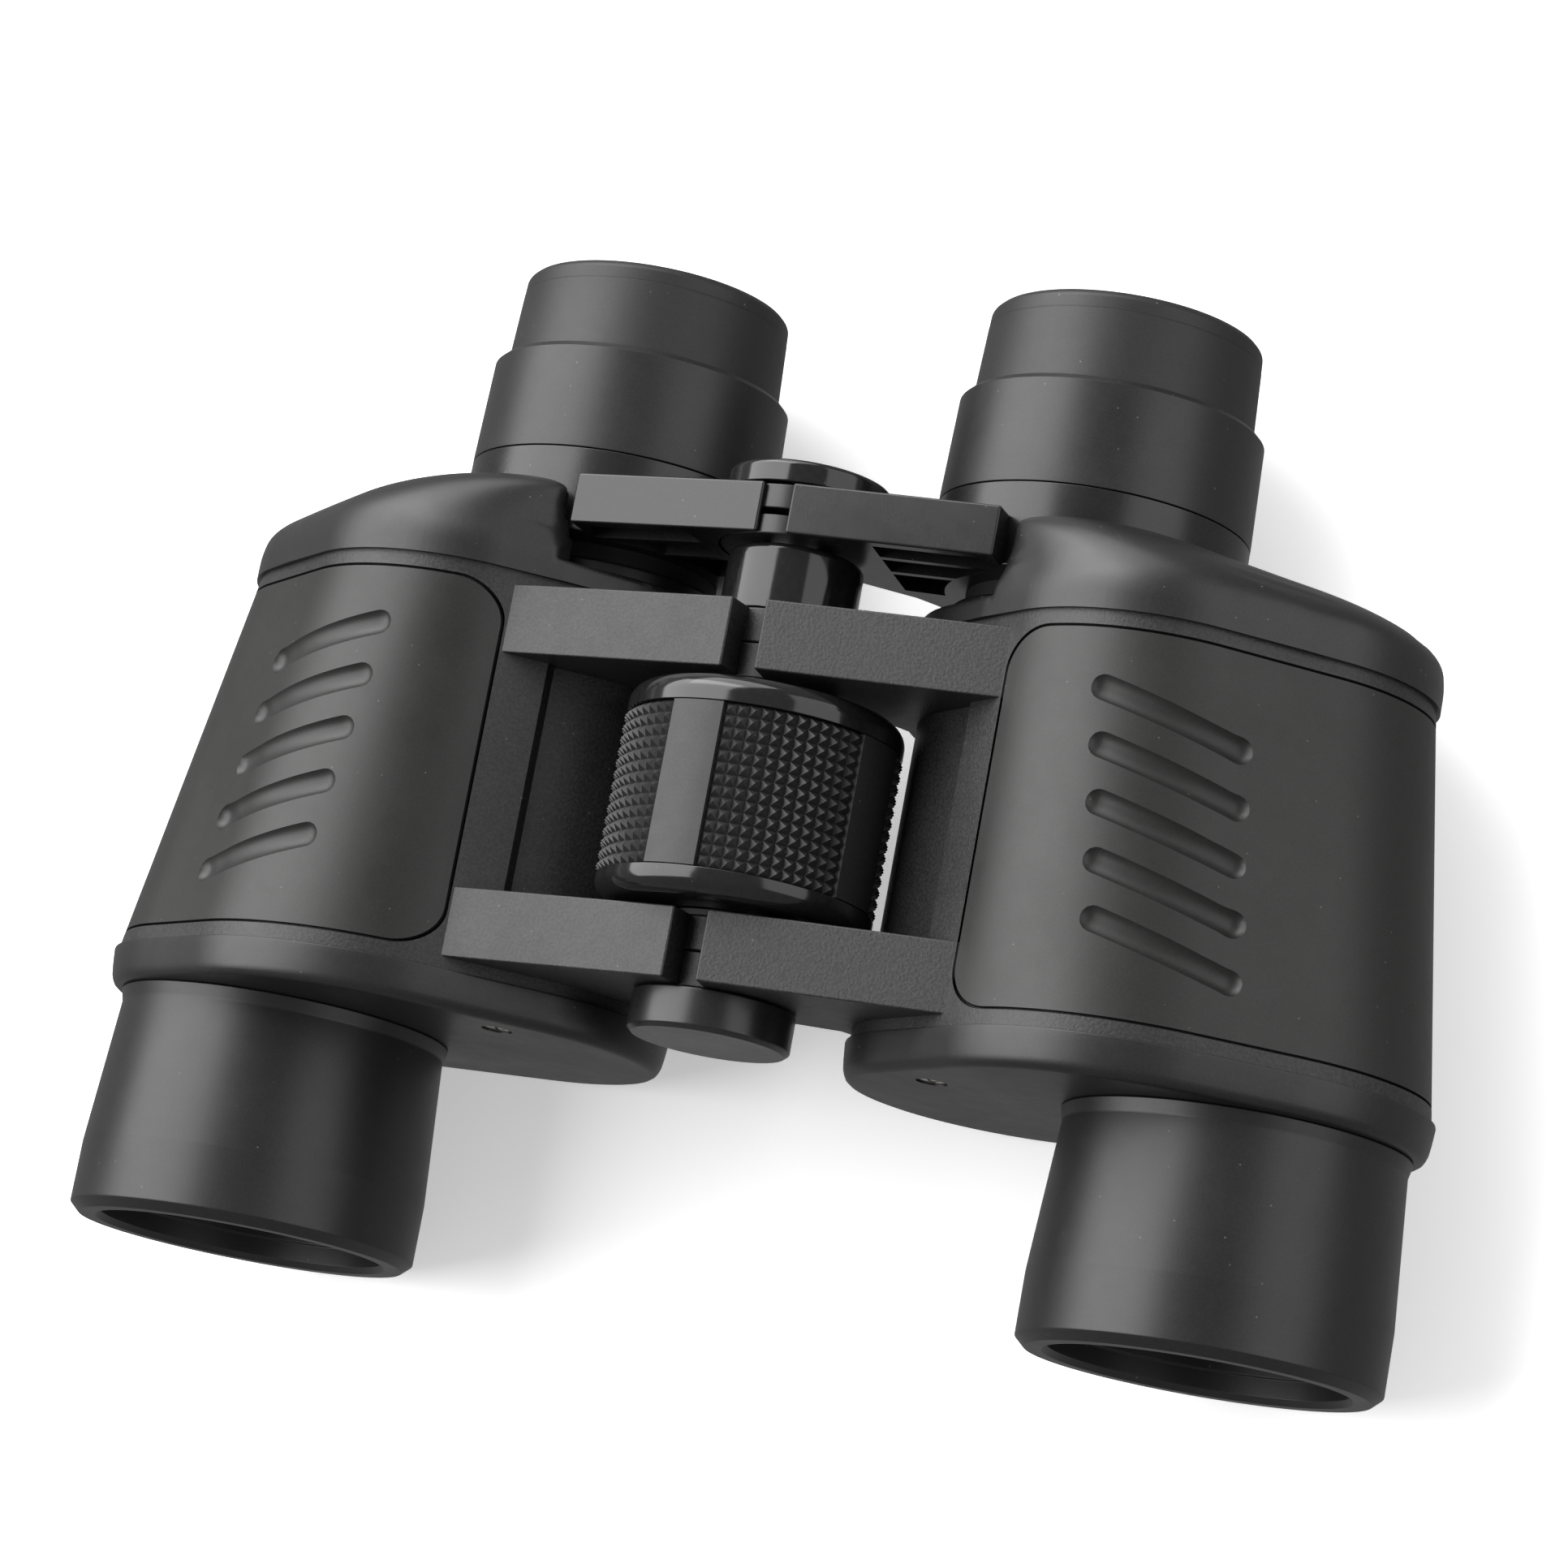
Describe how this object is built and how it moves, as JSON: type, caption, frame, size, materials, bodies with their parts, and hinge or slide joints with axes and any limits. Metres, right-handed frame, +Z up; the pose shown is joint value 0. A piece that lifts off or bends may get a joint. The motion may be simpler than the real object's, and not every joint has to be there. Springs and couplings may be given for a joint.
{
  "type": "binoculars",
  "caption": "Porro prism binoculars with black housings, grooved rubber grips, a knurled centre focus wheel, a folding hinge, a dioptre ring, rubber eyecups and a capped tripod socket.",
  "frame": {"origin": "centre of the bounding box's footprint, on the level that the covers of the two halves rest on", "axes": "+Z up, the objectives point towards -Y, the user's left half is on +X, and the hinge axis lies in the YZ plane along Y"},
  "size_m": [0.1944, 0.1446, 0.0608],
  "materials": {
    "housing_black": "matte",
    "cover_black": "matte",
    "barrel_black": "matte",
    "arm_black": "satin",
    "collar_black": "matte",
    "cap_black": "satin",
    "gloss_black": "gloss",
    "grip_rubber": "matte",
    "tread_rubber": "matte",
    "eyecup_rubber": "matte",
    "inner_black": "matte",
    "objective_glass": "polished",
    "eye_glass": "polished",
    "prism_glass": "polished",
    "screw_chrome": "polished",
    "spring_steel": "satin",
    "axle_steel": "satin",
    "shelf_aluminium": "satin",
    "bush_brass": "satin"
  },
  "bodies": {
    "left_half": {"left_prism_housing": "housing_black", "left_grip_panel": "grip_rubber", "left_front_cover": "cover_black", "left_rear_cover": "cover_black", "left_cover_screws": "screw_chrome", "left_objective_barrel": "barrel_black", "left_objective_retainer": "inner_black", "left_objective_crown_lens": "objective_glass", "left_objective_flint_lens": "objective_glass", "left_front_prism": "prism_glass", "left_rear_prism": "prism_glass", "left_prism_shelf": "shelf_aluminium", "left_prism_clips": "spring_steel", "left_strap_bar": "spring_steel", "front_axle": "axle_steel", "rear_axle": "axle_steel", "tripod_bush": "bush_brass", "thrust_washers": "axle_steel", "spindle_sleeve": "gloss_black"},
    "right_half": {"right_prism_housing": "housing_black", "right_grip_panel": "grip_rubber", "right_front_cover": "cover_black", "right_rear_cover": "cover_black", "right_cover_screws": "screw_chrome", "right_objective_barrel": "barrel_black", "right_objective_retainer": "inner_black", "right_objective_crown_lens": "objective_glass", "right_objective_flint_lens": "objective_glass", "right_front_prism": "prism_glass", "right_rear_prism": "prism_glass", "right_prism_shelf": "shelf_aluminium", "right_prism_clips": "spring_steel", "right_strap_bar": "spring_steel"},
    "focus_wheel": {"focus_wheel_drum": "gloss_black", "focus_wheel_tread": "tread_rubber"},
    "left_carriage": {"left_eyepiece_arm": "arm_black", "left_ocular_tube": "inner_black", "left_eyepiece_collar": "collar_black", "left_field_lens": "eye_glass", "left_field_stop": "inner_black", "left_eye_lens": "eye_glass", "left_eyecup": "eyecup_rubber", "focus_spindle": "axle_steel", "bridge_cap": "gloss_black", "bridge_screw": "screw_chrome"},
    "right_carriage": {"right_eyepiece_arm": "arm_black"},
    "right_ocular": {"right_ocular_tube": "inner_black", "right_field_lens": "eye_glass", "right_field_stop": "inner_black", "right_eye_lens": "eye_glass", "right_eyecup": "eyecup_rubber"},
    "dioptre_ring": {"right_dioptre_ring": "collar_black"},
    "tripod_cap": {"tripod_cap": "cap_black"}
  },
  "joints": [
    {"name": "fold", "type": "hinge", "parent": "left_half", "child": "right_half", "pos_m": [0, 0, 0.04126], "axis": [0, -1, 0], "range_deg": [0, 40]},
    {"name": "focus_turn", "type": "hinge", "parent": "left_half", "child": "focus_wheel", "pos_m": [0, 0, 0.04126], "axis": [0, 1, 0], "range_deg": [0, 432]},
    {"name": "left_focus_slide", "type": "slide", "parent": "left_half", "child": "left_carriage", "axis": [0, 1, 0], "range_m": [0, 0.0084]},
    {"name": "right_focus_slide", "type": "slide", "parent": "right_half", "child": "right_carriage", "axis": [0, 1, 0], "range_m": [0, 0.0084]},
    {"name": "dioptre_turn", "type": "hinge", "parent": "right_carriage", "child": "dioptre_ring", "pos_m": [-0.03599, 0, 0.024], "axis": [0, 1, 0], "range_deg": [-50, 50]},
    {"name": "right_ocular_slide", "type": "slide", "parent": "right_carriage", "child": "right_ocular", "axis": [0, 1, 0], "range_m": [-0.0012, 0.0012]},
    {"name": "tripod_cap_off", "type": "slide", "parent": "left_half", "child": "tripod_cap", "axis": [0, -1, 0], "range_m": [0, 0.04]}
  ],
  "couplings": [
    {"joint": "focus_turn", "follows": "left_focus_slide", "rad_per_m": 897.59},
    {"joint": "right_focus_slide", "follows": "left_focus_slide", "ratio": 1},
    {"joint": "dioptre_turn", "follows": "right_ocular_slide", "rad_per_m": 727.2}
  ]
}
